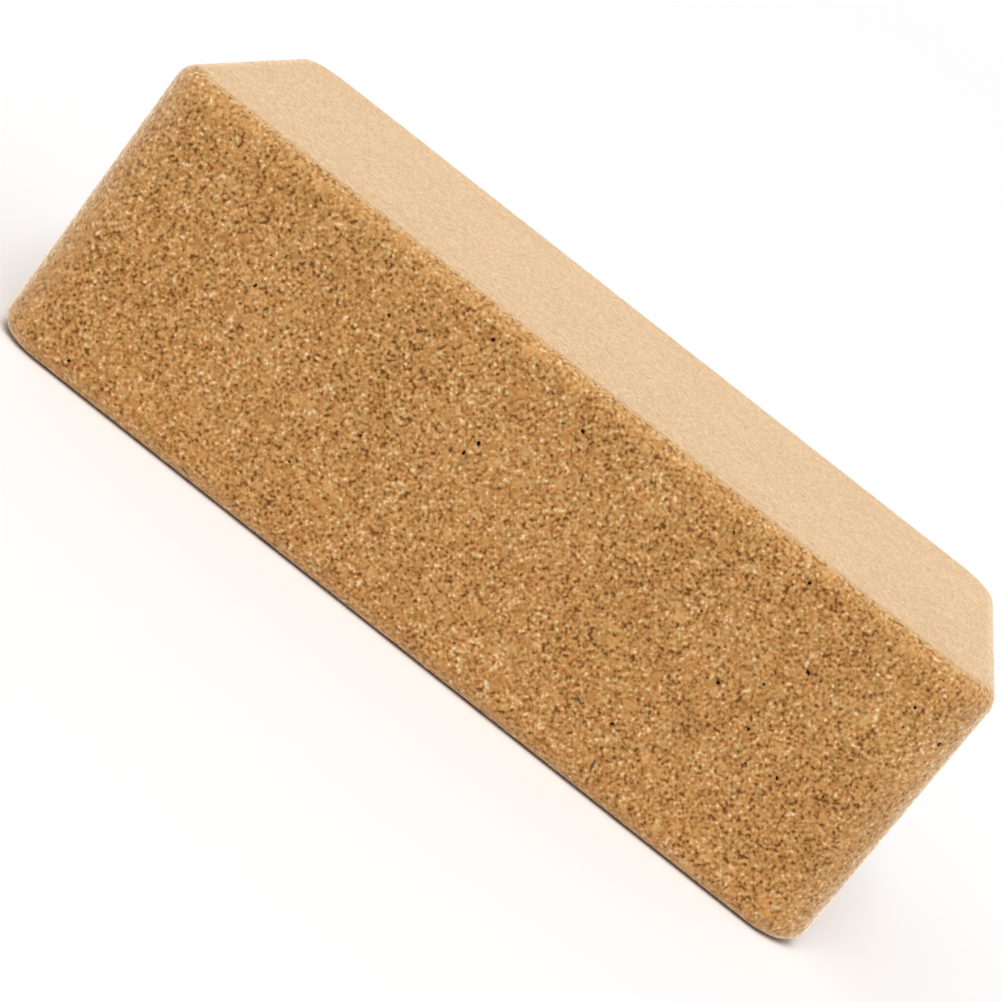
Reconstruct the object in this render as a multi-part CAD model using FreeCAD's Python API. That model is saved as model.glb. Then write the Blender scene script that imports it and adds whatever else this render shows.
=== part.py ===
"""Cork sanding block: one solid bar of agglomerated cork.

Millimetres, +Z up.  The origin is the centre of the sole, the broad face that the block rests on.
X runs along the block and Y across it.  The sole and the top are alike, so either one can sand.
"""
import FreeCAD, Part
import os

# Driving dimensions
LENGTH = 110.0          # along X; a quarter sheet of abrasive is 115 mm wide
WIDTH = 66.0            # along Y
HEIGHT = 36.0           # along Z; WIDTH + 2 * HEIGHT stays under the quarter sheet's 140 mm
CORNER_RADIUS = 6.5     # the four upright corners, seen from above
EDGE_RADIUS = 2.5       # the eased rims round the sole and round the top

TOLERANCE = 1e-6        # for telling edges apart by where they lie


def is_upright(edge):
    """True for a straight edge that runs from the sole to the top."""
    box = edge.BoundBox
    return box.ZLength > HEIGHT - TOLERANCE and box.XLength < TOLERANCE and box.YLength < TOLERANCE


def is_rim(edge):
    """True for an edge that lies in the plane of the sole or of the top."""
    box = edge.BoundBox
    if box.ZLength > TOLERANCE:
        return False
    return box.ZMin < TOLERANCE or box.ZMin > HEIGHT - TOLERANCE


def cork_block():
    """The whole block: a bar with rounded upright corners, and every rim eased."""
    corner = FreeCAD.Vector(-LENGTH / 2, -WIDTH / 2, 0)
    bar = Part.makeBox(LENGTH, WIDTH, HEIGHT, corner)
    uprights = [edge for edge in bar.Edges if is_upright(edge)]
    bar = bar.makeFillet(CORNER_RADIUS, uprights)
    rims = [edge for edge in bar.Edges if is_rim(edge)]
    return bar.makeFillet(EDGE_RADIUS, rims)


def main():
    os.makedirs("parts", exist_ok=True)
    block = cork_block()
    block.exportStep("parts/cork_block.step")
    box = block.optimalBoundingBox()
    print(f"cork_block valid {block.isValid()}, solids {len(block.Solids)}")
    print(f"size {box.XLength:.2f} x {box.YLength:.2f} x {box.ZLength:.2f} mm, volume {block.Volume:.0f} mm3")


main()
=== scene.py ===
"""The looks of the cork sanding block: one bar of pressed cork granules, cut, eased and sanded.

Metres, +Z up, the sole's centre at the origin.  The granules come from one pattern, cork_pattern().  The
relief of the mesh and the colours of the material both read it, so that every pit has painted shade where
it is deep.
"""

import math

import bpy
import numpy as np
from mathutils import Matrix, Vector


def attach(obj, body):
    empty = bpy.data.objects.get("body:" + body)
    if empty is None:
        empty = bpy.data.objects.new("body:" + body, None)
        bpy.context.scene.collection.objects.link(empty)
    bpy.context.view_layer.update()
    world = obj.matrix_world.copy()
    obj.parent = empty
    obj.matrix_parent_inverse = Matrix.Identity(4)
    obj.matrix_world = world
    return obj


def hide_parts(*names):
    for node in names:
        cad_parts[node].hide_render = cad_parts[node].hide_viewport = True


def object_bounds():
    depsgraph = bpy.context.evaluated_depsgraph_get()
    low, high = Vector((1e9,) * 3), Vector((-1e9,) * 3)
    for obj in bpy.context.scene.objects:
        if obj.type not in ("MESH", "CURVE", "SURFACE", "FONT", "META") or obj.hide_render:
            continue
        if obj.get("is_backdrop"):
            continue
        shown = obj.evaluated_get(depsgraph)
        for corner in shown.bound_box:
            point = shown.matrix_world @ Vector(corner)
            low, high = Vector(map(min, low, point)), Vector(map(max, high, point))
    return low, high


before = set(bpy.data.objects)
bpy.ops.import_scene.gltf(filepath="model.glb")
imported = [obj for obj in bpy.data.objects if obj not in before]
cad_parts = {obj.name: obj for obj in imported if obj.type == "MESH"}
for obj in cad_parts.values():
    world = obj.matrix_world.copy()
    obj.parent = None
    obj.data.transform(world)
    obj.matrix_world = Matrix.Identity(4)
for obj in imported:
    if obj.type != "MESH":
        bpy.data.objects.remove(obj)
cad_low, cad_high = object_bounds()

# The block's rounding, which its box doesn't tell, in metres
CORNER_RADIUS = 0.0065      # the four upright corners, seen from above
RIM_RADIUS = 0.0025         # the eased rims round the sole and round the top
GRID_STEP = 0.00025         # between neighbouring points of the mesh
MAP_NAME = "OFBake"         # the flat map of the surface that a baked picture of the cork would use
MAP_GAP = 0.002             # between the map's six rectangles
ROUNDING_ERROR = 1e-9

# The cork's pattern, in millimetres
MM = 1000.0                 # millimetres in a metre
PLACE_ATTRIBUTE = "cork_place"      # where a point of the surface lay before the relief moved it
FACE_ATTRIBUTE = "cork_face"        # which way the surface faced there
GRID_AXIS = (1.0, 2.0, 3.0)     # a turn that keeps the noise's own grid off the block's flat faces
GRID_TURN = 0.9             # in radians
GRAIN = 0.34                # size of the fine grains
GRAIN_SEAM = 0.20           # width of the soft line round one
GRAIN_LEVEL = 0.04          # how much one grain stands above another
SEAM_DEPTH = 0.04           # of the lines between them
CHIP = 0.38                 # size of the soft-edged chips behind the grains
CHIP_SOFTNESS = 0.3         # of their outlines, 0 to 1
CLUMP = 0.95                # size of the coarse granules among them
CLUMP_SEAM = 0.07           # width of the line round one
CLUMP_SEAM_FAINT = 0.4      # strength of that line round a granule that has crumbled
CLUMP_LEVEL = 0.012         # how much one coarse granule stands above another
CLUMP_TILT = 0.03           # slope of its cut face
CLUMP_SHARE = 0.05          # share of the coarse granules that show whole
CLUMP_CALM = 0.8            # how much of the fine relief a whole one hides
WOBBLE = 0.14               # how far the outlines wander
WOBBLE_LENGTH = 0.45
WOBBLE_DETAIL = 2.0
WOBBLE_ROUGHNESS = 0.6
BLOT_LENGTH = 0.42          # soft stains across the grains
BLOT_DETAIL = 0.0           # no smaller stains within them
FLECK_LENGTH = 0.11         # mottling inside a grain
FLECK_DETAIL = 1.0
PATCH_LENGTH = 12.0         # slow change of tone
PIT_SPACING = 1.3           # between places where a pit may be
PIT_SHARE = 0.07            # share of those places that have one
PIT_RADIUS = (0.09, 0.34)   # of the smallest and of the largest
PIT_RIM = 0.10              # how far a pit's wall reaches in
PIT_DEPTH = 0.35
FLAKE_SPACING = 7.0         # between places where a flake of bark may be
FLAKE_SHARE = 0.3
FLAKE_LENGTH = 2.0
FLAKE_THICKNESS = 0.34
FLAKE_EDGE = (0.6, 1.1)     # where its outline fades, as shares of its size, squared
WAVE_DEPTH = 0.015          # slow unevenness left by the sanding
WAVE_LENGTH = 9.0

# How much each of them changes a grain's tone, which runs from 0, dark, to 1, pale
MEAN_TONE = 0.45            # of all the cork
MIDDLE_TONE = 0.49          # of a grain that nothing changes
GRAIN_TONE = 0.85
SEAM_SOFTNESS = 0.7         # how far the outline of a grain goes towards the mean tone
CHIP_TONE = 0.38
BLOT_TONE = 1.25
FLECK_TONE = 0.12
PATCH_TONE = 0.25
CLUMP_TONE = 0.15
WHOLE_TONES = (0.25, 0.80)  # of the coarse granules that show whole
WHOLE_SHARE = 0.6           # how much of its own tone such a granule takes

# How the cork takes light
ROUGHNESS = 0.91            # of the darkest grains
ROUGHNESS_DROP = 0.12       # how much smoother the palest grains are
SPECULAR = 0.2
BUMP = 0.45
SHEEN_COLOURS = ((0.79, 0.70, 0.50, 1.0), (0.87, 0.95, 1.0, 1.0))   # where the dust lies thin and thick
DUST_LENGTH = 1.3           # in millimetres, of the patches of dust, which pale grains hold best
DUST_TONE = 0.9             # how much the patches change it
SHEEN_ROUGHNESS = 0.38
SHEEN_START = 0.2           # how far the surface turns from the eye before the whole sheen shows, 0 to 1
SEAM_SHARE = 0.15           # how much of the binder's colour the seams take
FLAKE_STRENGTH = 0.85       # how much a flake of bark hides the cork

# The cork's colours.  A ramp is (place, (red, green, blue)) stops.
TISSUE = [                  # by tone
    (0.00, (0.130, 0.050, 0.013)),
    (0.06, (0.225, 0.094, 0.026)),
    (0.22, (0.365, 0.166, 0.045)),
    (0.50, (0.520, 0.262, 0.082)),
    (0.78, (0.650, 0.370, 0.145)),
    (0.93, (0.755, 0.485, 0.240)),
    (1.00, (0.865, 0.650, 0.420)),
]
TINTS = [                   # by a random number for each grain
    (0.00, (1.00, 0.88, 0.78)),
    (0.50, (0.95, 0.94, 0.93)),
    (1.00, (0.87, 0.98, 0.99)),
]
BINDER = (0.25, 0.112, 0.034, 1.0)
# a painted highlight, paler orange, on the rounded edges
PAINTED_RIM_HIGHLIGHT = (0.80, 0.47, 0.20, 1.0)
# pale sanding dust, and in part a painted sheen, on the top and sole
DUST_AND_PAINTED_SHEEN = (0.64, 0.466, 0.245, 1.0)
BARK = (0.085, 0.062, 0.050, 1.0)
# painted shade in the pits: near black, standing for the shadow inside them
PAINTED_PIT_SHADE = (0.012, 0.006, 0.003, 1.0)

# What sanding changes, with dust and a painted sheen on the top and sole, and where a painted highlight
# lies on the rounded edges.  A rim runs from 0, at the side, to 1, at the top or the sole.
SANDED_SHEEN_FROM = 0.84          # where on a rim the dusty face with its painted sheen begins
SANDED_SHEEN_WHOLE = 0.92         # where it is whole
RAGGED = 0.16               # how far its outline follows the grains
DUST_AND_SHEEN_SHARE = 0.30         # how much of the pale colour, sanding dust with a painted sheen, the top and sole take
DUST_AND_SHEEN_TONE = 0.75
DUST_AND_SHEEN_PULL = 0.28           # how far the sanding, with a painted sheen, brings their grains to that pale tone
FILLED_SHARE = 0.70         # how much the dust of sanding hides their flakes and the painted shade of their pits
SANDED_CALM = 0.6           # how much of the bump the sanding takes away there
RIM_HIGHLIGHT_SHARE = 0.14           # how much of the painted highlight's colour the rounded edges take
RIM_HIGHLIGHT_TURN = (0.005, 0.16)   # how far a rounded edge turns before its painted highlight shows, from first to full

# The studio
FILL_STRENGTH = 0.55        # light from all round
KEY_STRENGTH = 2.2          # light from above and in front
KEY_HEIGHT = 60.0           # degrees above the floor
KEY_SIDE = -2.0             # degrees from straight in front; below 0 is to the right
KEY_SOFTNESS = 35.0         # degrees across
FLOOR_SIZE = 20.0
FLOOR_COLOUR = (0.88, 0.88, 0.88)
FLOOR_ROUGHNESS = 0.9
CAMERA_PLACE = (0.009287, -0.353202, 0.089159)
CAMERA_AZIMUTH = 1.5617     # degrees that the camera turns left of straight ahead
CAMERA_DIP = 12.185         # degrees that it looks down
CAMERA_ROLL = 37.928        # degrees that it leans, so the block runs down to the right
CAMERA_LENS = 111.6         # in millimetres, like the sensor
CAMERA_SENSOR = 36.0
CAMERA_NEAR = 0.01          # nothing nearer than this shows


# ---------------------------------------------------------------- nodes


def add(tree, kind, links=None, **settings):
    """A new node with its settings; links gives an input a socket or a plain value."""
    node = tree.nodes.new(kind)
    for name, value in settings.items():
        setattr(node, name, value)
    for key, value in (links or {}).items():
        if isinstance(value, bpy.types.NodeSocket):
            tree.links.new(value, node.inputs[key])
        else:
            node.inputs[key].default_value = value
    return node


def calc(tree, operation, *values, clamp=False):
    """One step of arithmetic on numbers."""
    links = dict(enumerate(values))
    return add(tree, "ShaderNodeMath", links, operation=operation, use_clamp=clamp).outputs[0]


def calc_vector(tree, operation, *values, output=0):
    """One step of arithmetic on vectors."""
    return add(tree, "ShaderNodeVectorMath", dict(enumerate(values)), operation=operation).outputs[output]


def smooth(tree, value, low, high):
    """0 below low, 1 above high, and an eased slope between them."""
    links = {"Value": value, "From Min": low, "From Max": high}
    return add(tree, "ShaderNodeMapRange", links, interpolation_type="SMOOTHSTEP").outputs["Result"]


def noise(tree, place, scale, detail=2.0, roughness=0.5, output="Fac"):
    """Soft random variation: scale is how many blobs fit in a millimetre."""
    links = {"Vector": place, "Scale": scale, "Detail": detail, "Roughness": roughness}
    return add(tree, "ShaderNodeTexNoise", links).outputs[output]


def mix_colour(tree, factor, first, second, blend="MIX"):
    """The first colour at factor 0, the second, or the blend of the two, at 1."""
    links = {0: factor, 6: first, 7: second}
    return add(tree, "ShaderNodeMix", links, data_type="RGBA", blend_type=blend).outputs[2]


def cells(tree, place, size, feature="F1"):
    """Voronoi cells of about one size, in millimetres."""
    links = {"Vector": place, "Scale": 1.0 / size, "Randomness": 1.0}
    return add(tree, "ShaderNodeTexVoronoi", links, feature=feature)


def scaled(tree, vector, scale):
    """A vector times a number."""
    return add(tree, "ShaderNodeVectorMath", {0: vector, "Scale": scale}, operation="SCALE").outputs[0]


def split(tree, vector):
    """The three parts of a vector or a colour."""
    return add(tree, "ShaderNodeSeparateXYZ", {0: vector}).outputs


# ---------------------------------------------------------------- the cork's pattern


def centred(tree, colour):
    """A random colour as a vector whose parts run from -0.5 to 0.5."""
    return calc_vector(tree, "SUBTRACT", colour, (0.5, 0.5, 0.5))


def granules(tree, place, size, seam_width):
    """Cells of about one size: the node, each one's random numbers, and 1 on the line between two."""
    node = cells(tree, place, size)
    edge = cells(tree, place, size, "DISTANCE_TO_EDGE").outputs["Distance"]
    seam = calc(tree, "SUBTRACT", 1.0, smooth(tree, edge, 0.0, seam_width / size))
    return node, split(tree, node.outputs["Color"]), seam


def pits(tree, place):
    """1 in the floor of a round pit, 0 outside it and a slope between."""
    hole = cells(tree, place, PIT_SPACING)
    chance = split(tree, hole.outputs["Color"])
    least, most = PIT_RADIUS
    radius = calc(tree, "MULTIPLY_ADD", chance[1], most - least, least)
    depth = calc(tree, "MULTIPLY_ADD", hole.outputs["Distance"], -PIT_SPACING, radius)
    there = calc(tree, "LESS_THAN", chance[0], PIT_SHARE)
    return calc(tree, "MULTIPLY", smooth(tree, depth, 0.0, PIT_RIM), there)


def flakes(tree, place):
    """1 in a thin round flake of dark bark that lies any way in the cork, so the cut shows a dash."""
    spot = cells(tree, place, FLAKE_SPACING)
    chance = split(tree, spot.outputs["Color"])
    offset = calc_vector(tree, "SUBTRACT", place, spot.outputs["Position"])
    way = calc_vector(tree, "NORMALIZE", centred(tree, spot.outputs["Color"]))
    height = calc_vector(tree, "DOT_PRODUCT", offset, way, output=1)
    flat = calc_vector(tree, "SUBTRACT", offset, scaled(tree, way, height))
    across = calc_vector(tree, "LENGTH", flat, output=1)
    height = calc(tree, "DIVIDE", calc(tree, "ABSOLUTE", height), FLAKE_THICKNESS / 2)
    across = calc(tree, "DIVIDE", across, FLAKE_LENGTH / 2)
    reach = calc(tree, "ADD", calc(tree, "POWER", height, 2.0), calc(tree, "POWER", across, 2.0))
    inside = calc(tree, "SUBTRACT", 1.0, smooth(tree, reach, *FLAKE_EDGE))
    return calc(tree, "MULTIPLY", inside, calc(tree, "LESS_THAN", chance[0], FLAKE_SHARE))


def spread(tree, value, share):
    """A number round 0.5 as an amount round 0."""
    return calc(tree, "MULTIPLY_ADD", value, share, -share / 2)


def chip_chance(tree, place):
    """A random number for each chip of an angular, soft-edged mosaic."""
    links = {"Vector": place, "Scale": 1.0 / CHIP, "Randomness": 1.0, "Smoothness": CHIP_SOFTNESS}
    return split(tree, add(tree, "ShaderNodeTexVoronoi", links, feature="SMOOTH_F1").outputs["Color"])[0]


def towards(tree, value, goal, share):
    """A number moved towards a goal by a share of the way."""
    return calc(tree, "MULTIPLY_ADD", calc(tree, "SUBTRACT", goal, value), share, value)


def cork_tone(tree, place, grain_chance, grain_seam, clump_chance, whole):
    """The tone of the cork, softened towards its mean at the outline of each grain."""
    tone = calc(tree, "ADD", spread(tree, grain_chance[0], GRAIN_TONE), MIDDLE_TONE)
    tone = towards(tree, tone, MEAN_TONE, calc(tree, "MULTIPLY", grain_seam, SEAM_SOFTNESS))
    blot = noise(tree, place, 1 / BLOT_LENGTH, BLOT_DETAIL)
    tone = calc(tree, "ADD", tone, spread(tree, blot, BLOT_TONE))
    tone = calc(tree, "ADD", tone, spread(tree, chip_chance(tree, place), CHIP_TONE))
    tone = calc(tree, "ADD", tone, spread(tree, clump_chance[2], CLUMP_TONE))
    darkest, palest = WHOLE_TONES
    clump_tone = calc(tree, "MULTIPLY_ADD", clump_chance[2], palest - darkest, darkest)
    tone = towards(tree, tone, clump_tone, calc(tree, "MULTIPLY", whole, WHOLE_SHARE))
    tone = calc(tree, "ADD", tone, spread(tree, noise(tree, place, 1 / PATCH_LENGTH), PATCH_TONE))
    fleck = noise(tree, place, 1 / FLECK_LENGTH, FLECK_DETAIL)
    return calc(tree, "ADD", tone, spread(tree, fleck, FLECK_TONE), clamp=True)


def cork_pattern(tree, place):
    """The cork as the cut surface meets it.  place is in millimetres.

    tone runs from 0, dark, to 1, pale; hue is a random number for each grain; seam is 1 on the line
    between two grains, pit in the floor of a pit and flake in a flake of bark; coarse is the relief that
    the mesh takes, and fine is the rest, which is bump.
    """
    turned = {"Vector": place, "Axis": GRID_AXIS, "Angle": GRID_TURN}
    place = add(tree, "ShaderNodeVectorRotate", turned, rotation_type="AXIS_ANGLE").outputs[0]
    wander = centred(tree, noise(tree, place, 1 / WOBBLE_LENGTH, WOBBLE_DETAIL, WOBBLE_ROUGHNESS, "Color"))
    wander = scaled(tree, wander, 2 * WOBBLE)
    bent = calc_vector(tree, "ADD", place, wander)
    _, grain_chance, grain_seam = granules(tree, bent, GRAIN, GRAIN_SEAM)
    clump, clump_chance, clump_seam = granules(tree, bent, CLUMP, CLUMP_SEAM)
    whole = calc(tree, "LESS_THAN", clump_chance[0], CLUMP_SHARE)
    crumbled = calc(tree, "MULTIPLY_ADD", whole, -CLUMP_CALM, 1.0)
    pit = pits(tree, calc_vector(tree, "ADD", bent, wander))

    clump_share = calc(tree, "MULTIPLY_ADD", whole, 1.0 - CLUMP_SEAM_FAINT, CLUMP_SEAM_FAINT)
    clump_seam = calc(tree, "MULTIPLY", clump_seam, clump_share)
    seam = calc(tree, "MAXIMUM", calc(tree, "MULTIPLY", grain_seam, crumbled), clump_seam)

    from_middle = calc_vector(tree, "SUBTRACT", bent, clump.outputs["Position"])
    lean = calc_vector(tree, "DOT_PRODUCT", from_middle, centred(tree, clump.outputs["Color"]), output=1)
    coarse = spread(tree, clump_chance[1], 2 * CLUMP_LEVEL)
    coarse = calc(tree, "MULTIPLY_ADD", lean, 2 * CLUMP_TILT, coarse)
    coarse = calc(tree, "ADD", coarse, spread(tree, noise(tree, place, 1 / WAVE_LENGTH), 2 * WAVE_DEPTH))
    coarse = calc(tree, "MULTIPLY_ADD", pit, -PIT_DEPTH, coarse)

    inside = calc(tree, "MULTIPLY", crumbled, calc(tree, "SUBTRACT", 1.0, grain_seam))
    fine = calc(tree, "MULTIPLY", spread(tree, grain_chance[1], 2 * GRAIN_LEVEL), inside)
    fine = calc(tree, "MULTIPLY_ADD", seam, -SEAM_DEPTH, fine)
    tone = cork_tone(tree, place, grain_chance, grain_seam, clump_chance, whole)
    return {"tone": tone, "hue": grain_chance[2], "seam": seam, "pit": pit, "flake": flakes(tree, place),
            "coarse": coarse, "fine": fine}


# ---------------------------------------------------------------- the block's mesh


def box_lattice(counts):
    """Points on the surface of a box of counts[i] steps each way, and the quads of each of its six sides,
    facing outwards, in the order -X, +X, -Y, +Y, -Z, +Z.
    """
    points, quads, start = [], [], 0
    for axis in range(3):
        u, v = (axis + 1) % 3, (axis + 2) % 3
        columns, rows = np.meshgrid(np.arange(counts[u] + 1), np.arange(counts[v] + 1), indexing="ij")
        number = np.arange(columns.size).reshape(columns.shape)
        corners = np.stack([number[:-1, :-1], number[1:, :-1], number[1:, 1:], number[:-1, 1:]], -1)
        corners = corners.reshape(-1, 4)
        for far in (False, True):
            side = np.zeros((columns.size, 3), int)
            side[:, axis] = counts[axis] if far else 0
            side[:, u], side[:, v] = columns.ravel(), rows.ravel()
            points.append(side)
            quads.append((corners if far else corners[:, ::-1]) + start)
            start += columns.size
    points, merged = np.unique(np.concatenate(points), axis=0, return_inverse=True)
    return points, [merged.ravel()[side] for side in quads]


def flat_map(points, sides):
    """Where each corner of each quad lies on the map, 0 to 1 each way: the six sides in two columns."""
    length, width, height = points.max(0)
    column = length + 2 * MAP_GAP
    above = 2 * (height + MAP_GAP)
    stack = 2 * (width + MAP_GAP)
    # for each side, the axes that run across and up the map, and the rectangle's lower left corner
    places = [
        (1, 2, column, MAP_GAP),
        (1, 2, column, height + 2 * MAP_GAP),
        (0, 2, MAP_GAP, stack + MAP_GAP),
        (2, 0, column, above + MAP_GAP),
        (0, 1, MAP_GAP, MAP_GAP),
        (0, 1, MAP_GAP, width + 2 * MAP_GAP),
    ]
    corners = []
    for side, (across, up, left, bottom) in zip(sides, places):
        corners.append(points[side.ravel()][:, (across, up)] + (left, bottom))
    size = max(column + width + MAP_GAP, stack + height + 2 * MAP_GAP, above + length + 2 * MAP_GAP)
    return np.concatenate(corners) / size


def round_block(points, half):
    """Bends a box, centred on the origin with its half sizes, to the block's rounded corners and rims."""
    sign = np.where(points < 0, -1.0, 1.0)
    size = np.abs(points)
    past = np.maximum(size[:, :2] - (half[:2] - CORNER_RADIUS), 0)
    reach = past.max(1)
    on_side = reach > CORNER_RADIUS - ROUNDING_ERROR
    inset = np.where(on_side, 0.0, CORNER_RADIUS - reach)
    above = np.maximum(size[:, 2] - (half[2] - RIM_RADIUS), 0)
    slope = np.where(on_side, above, RIM_RADIUS + inset) / RIM_RADIUS * (math.pi / 4)
    slope = np.minimum(slope, math.pi / 2)
    rim_reach = CORNER_RADIUS - RIM_RADIUS * (1 - np.cos(slope))
    new_reach = np.where(inset < RIM_RADIUS, rim_reach, reach)
    ahead, beside = past.max(1), past.min(1)
    turn = np.divide(beside, ahead, out=np.zeros_like(ahead), where=ahead > 0) * (math.pi / 4)
    along_x = past[:, 0] >= past[:, 1]
    new = size.copy()
    in_corner = beside > 0
    x_turn = np.where(along_x, np.cos(turn), np.sin(turn))
    y_turn = np.where(along_x, np.sin(turn), np.cos(turn))
    for axis, part in ((0, x_turn), (1, y_turn)):
        middle = half[axis] - CORNER_RADIUS
        straight = np.where(past[:, axis] > 0, middle + new_reach, size[:, axis])
        new[:, axis] = np.where(in_corner, middle + new_reach * part, straight)
    rim_height = half[2] - RIM_RADIUS + RIM_RADIUS * np.sin(slope)
    new[:, 2] = np.where(slope > 0, rim_height, size[:, 2])
    return new * sign


def block_mesh():
    """The smooth block, as a closed mesh of even quads, with its flat map."""
    size = np.array(cad_high - cad_low)
    half = size / 2
    counts = np.round(size / GRID_STEP).astype(int)
    points, sides = box_lattice(counts)
    points = points / counts * size
    quads = np.concatenate(sides)
    places = round_block(points - half, half) + np.array(cad_low) + half
    mesh = bpy.data.meshes.new("cork_body")
    mesh.vertices.add(len(places))
    mesh.vertices.foreach_set("co", places.astype(np.float32).ravel())
    mesh.loops.add(quads.size)
    mesh.loops.foreach_set("vertex_index", quads.astype(np.int32).ravel())
    mesh.polygons.add(len(quads))
    mesh.polygons.foreach_set("loop_start", np.arange(0, quads.size, 4, dtype=np.int32))
    flat = flat_map(points, sides).astype(np.float32)
    mesh.uv_layers.new(name=MAP_NAME).uv.foreach_set("vector", flat.ravel())
    mesh.update(calc_edges=True)
    mesh.validate()
    mesh.shade_smooth()
    return mesh


def stored(tree, geometry, name, value):
    """The geometry with a vector kept at each of its points."""
    keep = add(tree, "GeometryNodeStoreNamedAttribute", data_type="FLOAT_VECTOR", domain="POINT")
    keep.inputs["Name"].default_value = name
    tree.links.new(geometry, keep.inputs["Geometry"])
    tree.links.new(value, keep.inputs["Value"])
    return keep.outputs[0]


def relief_nodes():
    """Geometry nodes that keep each point's place for the material, then move it by the relief."""
    tree = bpy.data.node_groups.new("cork_relief", "GeometryNodeTree")
    tree.interface.new_socket("Geometry", in_out="INPUT", socket_type="NodeSocketGeometry")
    tree.interface.new_socket("Geometry", in_out="OUTPUT", socket_type="NodeSocketGeometry")
    block = add(tree, "NodeGroupInput").outputs[0]
    place = add(tree, "GeometryNodeInputPosition").outputs[0]
    place = calc_vector(tree, "MULTIPLY", place, (MM, MM, MM))
    normal = add(tree, "GeometryNodeInputNormal").outputs[0]
    block = stored(tree, block, PLACE_ATTRIBUTE, place)
    block = stored(tree, block, FACE_ATTRIBUTE, normal)
    height = calc(tree, "DIVIDE", cork_pattern(tree, place)["coarse"], MM)
    move = {"Geometry": block, "Offset": scaled(tree, normal, height)}
    moved = add(tree, "GeometryNodeSetPosition", move).outputs[0]
    add(tree, "NodeGroupOutput", {0: moved})
    return tree


def cork_body():
    """The block, with the cut faces of its coarse granules, its pits and its unevenness as real relief."""
    smooth_block = bpy.data.objects.new("cork_smooth", block_mesh())
    bpy.context.scene.collection.objects.link(smooth_block)
    relief = smooth_block.modifiers.new("relief", "NODES")
    relief.node_group = relief_nodes()
    shaped = smooth_block.evaluated_get(bpy.context.evaluated_depsgraph_get())
    mesh = bpy.data.meshes.new_from_object(shaped)
    mesh.name = "cork_body"
    bpy.data.objects.remove(smooth_block)
    body = bpy.data.objects.new("cork_body", mesh)
    bpy.context.scene.collection.objects.link(body)
    body.data.materials.clear()
    body.data.materials.append(cork_material())
    return body


# ---------------------------------------------------------------- the cork's material


def colour_ramp(tree, factor, stops):
    """The colour that a ramp has at factor."""
    node = add(tree, "ShaderNodeValToRGB", {0: factor})
    ramp = node.color_ramp
    while len(ramp.elements) < len(stops):
        ramp.elements.new(1.0)
    for element, (place, colour) in zip(ramp.elements, stops):
        element.position = place
        element.color = (*colour, 1.0)
    return node.outputs["Color"]


def attribute(tree, name):
    """A vector that the relief nodes kept at each point."""
    return add(tree, "ShaderNodeAttribute", attribute_name=name).outputs["Vector"]


def shape_shares(tree, tone):
    """How far a point lies on the top or sole, which take sanding dust and a painted sheen, whose outline
    follows the grains, and how far on a rounded edge, which takes a painted highlight, each from 0 to 1.
    """
    size = split(tree, calc_vector(tree, "ABSOLUTE", attribute(tree, FACE_ATTRIBUTE)))
    height = calc(tree, "ADD", size[2], spread(tree, tone, RAGGED))
    sanded_and_sheen = smooth(tree, height, SANDED_SHEEN_FROM, SANDED_SHEEN_WHOLE)
    most = calc(tree, "MAXIMUM", size[0], calc(tree, "MAXIMUM", size[1], size[2]))
    rim_highlight = smooth(tree, calc(tree, "SUBTRACT", 1.0, most), *RIM_HIGHLIGHT_TURN)
    return sanded_and_sheen, rim_highlight


def cork_colour(tree, pattern, sanded_and_sheen, rim_highlight):
    """The colour of each grain, darker in its seams and its flakes of bark, with painted shade in its pits,
    a painted highlight on its rounded edges, and dust with a painted sheen on the top and sole.
    """
    # the top and sole brought towards a pale tone: sanding, and in part a painted sheen
    tone = towards(tree, pattern["tone"], DUST_AND_SHEEN_TONE, calc(tree, "MULTIPLY", sanded_and_sheen, DUST_AND_SHEEN_PULL))
    colour = colour_ramp(tree, tone, TISSUE)
    colour = mix_colour(tree, 1.0, colour, colour_ramp(tree, pattern["hue"], TINTS), "MULTIPLY")
    colour = mix_colour(tree, calc(tree, "MULTIPLY", pattern["seam"], SEAM_SHARE), colour, BINDER)
    # a painted highlight along every rounded edge
    colour = mix_colour(tree, calc(tree, "MULTIPLY", rim_highlight, RIM_HIGHLIGHT_SHARE), colour, PAINTED_RIM_HIGHLIGHT)
    # sanding dust and a painted sheen on the top and sole
    colour = mix_colour(tree, calc(tree, "MULTIPLY", sanded_and_sheen, DUST_AND_SHEEN_SHARE), colour, DUST_AND_PAINTED_SHEEN)
    bare = calc(tree, "MULTIPLY_ADD", sanded_and_sheen, -FILLED_SHARE, 1.0)
    flake = calc(tree, "MULTIPLY", calc(tree, "MULTIPLY", pattern["flake"], FLAKE_STRENGTH), bare)
    colour = mix_colour(tree, flake, colour, BARK)
    # painted shade in the pits, less where sanding dust fills them
    return mix_colour(tree, calc(tree, "MULTIPLY", pattern["pit"], bare), colour, PAINTED_PIT_SHADE)


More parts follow.
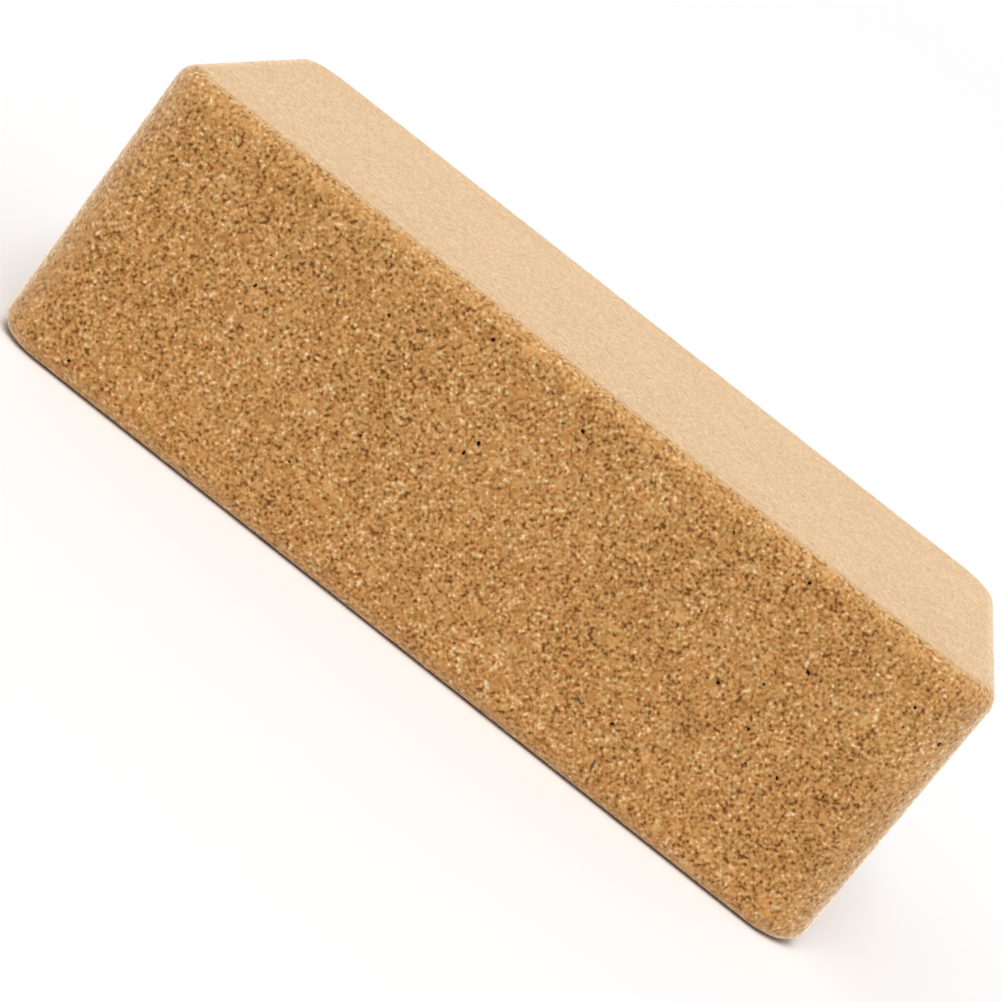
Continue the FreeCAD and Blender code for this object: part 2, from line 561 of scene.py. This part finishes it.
def cork_material():
    """Raw pressed cork: fine brown grains of many tones, pits with painted shade, pale flecks and a dry
    sheen.

    Head on, the surface is the plain cork, and the sheen is added as it turns away.
    """
    material = bpy.data.materials.new("pressed_cork")
    material.use_nodes = True
    tree = material.node_tree
    tree.nodes.clear()
    place = attribute(tree, PLACE_ATTRIBUTE)
    pattern = cork_pattern(tree, place)
    sanded_and_sheen, rim_highlight = shape_shares(tree, pattern["tone"])
    strength = calc(tree, "MULTIPLY_ADD", sanded_and_sheen, -SANDED_CALM * BUMP, BUMP)
    bump = add(tree, "ShaderNodeBump", {
        "Height": pattern["fine"],
        "Distance": 1 / MM,
        "Strength": strength,
    })
    cork = add(tree, "ShaderNodeBsdfPrincipled", {
        "Base Color": cork_colour(tree, pattern, sanded_and_sheen, rim_highlight),
        "Roughness": calc(tree, "MULTIPLY_ADD", pattern["tone"], -ROUGHNESS_DROP, ROUGHNESS),
        "Specular IOR Level": SPECULAR,
        "Normal": bump.outputs[0],
    })
    face = add(tree, "ShaderNodeVectorTransform", {0: attribute(tree, FACE_ATTRIBUTE)},
               vector_type="NORMAL", convert_from="OBJECT", convert_to="WORLD").outputs[0]
    patches = spread(tree, noise(tree, place, 1 / DUST_LENGTH), DUST_TONE)
    dust = calc(tree, "ADD", pattern["tone"], patches, clamp=True)
    fuzz = add(tree, "ShaderNodeBsdfSheen", {
        "Color": mix_colour(tree, dust, *SHEEN_COLOURS),
        "Roughness": SHEEN_ROUGHNESS,
        "Normal": face,
    })
    fuzzy = add(tree, "ShaderNodeAddShader", {0: cork.outputs[0], 1: fuzz.outputs[0]}).outputs[0]
    away = add(tree, "ShaderNodeLayerWeight", {"Normal": face}).outputs["Facing"]
    surface = add(tree, "ShaderNodeMixShader", {
        0: smooth(tree, away, 0.0, SHEEN_START),
        1: cork.outputs[0],
        2: fuzzy,
    })
    add(tree, "ShaderNodeOutputMaterial", {"Surface": surface.outputs[0]})
    return material


# ---------------------------------------------------------------- the studio


def plain_material(name, colour, roughness):
    """One colour and one roughness, for the floor."""
    material = bpy.data.materials.new(name)
    material.use_nodes = True
    shader = material.node_tree.nodes["Principled BSDF"]
    shader.inputs["Base Color"].default_value = (*colour, 1.0)
    shader.inputs["Roughness"].default_value = roughness
    return material


def floor(level):
    """A plain pale floor under the block."""
    bpy.ops.mesh.primitive_plane_add(size=FLOOR_SIZE, location=(0, 0, level))
    plane = bpy.context.object
    plane.name = "floor"
    plane.data.materials.append(plain_material("floor_paint", FLOOR_COLOUR, FLOOR_ROUGHNESS))
    plane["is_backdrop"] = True


def key_light():
    """A wide soft lamp, far off, so that it lights the floor evenly."""
    lamp = bpy.data.lights.new("key_light", "SUN")
    lamp.energy = KEY_STRENGTH
    lamp.angle = math.radians(KEY_SOFTNESS)
    holder = bpy.data.objects.new("key_light", lamp)
    bpy.context.scene.collection.objects.link(holder)
    height, side = math.radians(KEY_HEIGHT), math.radians(KEY_SIDE)
    level = math.cos(height)
    ray = Vector((math.sin(side) * level, math.cos(side) * level, -math.sin(height)))
    holder.rotation_mode = "QUATERNION"
    holder.rotation_quaternion = ray.to_track_quat("-Z", "Y")


def surroundings():
    """A white room that the camera sees as white and that lights the block less brightly."""
    world = bpy.data.worlds.new("studio")
    world.use_nodes = True
    tree = world.node_tree
    tree.nodes.clear()
    seen = add(tree, "ShaderNodeLightPath").outputs["Is Camera Ray"]
    strength = calc(tree, "MULTIPLY_ADD", seen, 1.0 - FILL_STRENGTH, FILL_STRENGTH)
    light = add(tree, "ShaderNodeBackground", {"Color": (1.0, 1.0, 1.0, 1.0), "Strength": strength})
    add(tree, "ShaderNodeOutputWorld", {"Surface": light.outputs[0]})
    bpy.context.scene.world = world
    bpy.context.scene.view_settings.view_transform = "Standard"


def camera():
    """The camera at the photograph's viewing angle."""
    data = bpy.data.cameras.new("camera")
    data.lens = CAMERA_LENS
    data.sensor_width = CAMERA_SENSOR
    data.clip_start = CAMERA_NEAR
    holder = bpy.data.objects.new("camera", data)
    bpy.context.scene.collection.objects.link(holder)
    turn = Matrix.Rotation(math.radians(CAMERA_AZIMUTH), 4, "Z")
    dip = Matrix.Rotation(math.radians(90 - CAMERA_DIP), 4, "X")
    roll = Matrix.Rotation(math.radians(CAMERA_ROLL), 4, "Z")
    holder.matrix_world = Matrix.Translation(CAMERA_PLACE) @ turn @ dip @ roll
    bpy.context.scene.camera = holder


def main():
    camera()
    surroundings()
    key_light()
    body = cork_body()
    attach(body, "root")
    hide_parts("cork_block")
    floor(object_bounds()[0].z)


main()
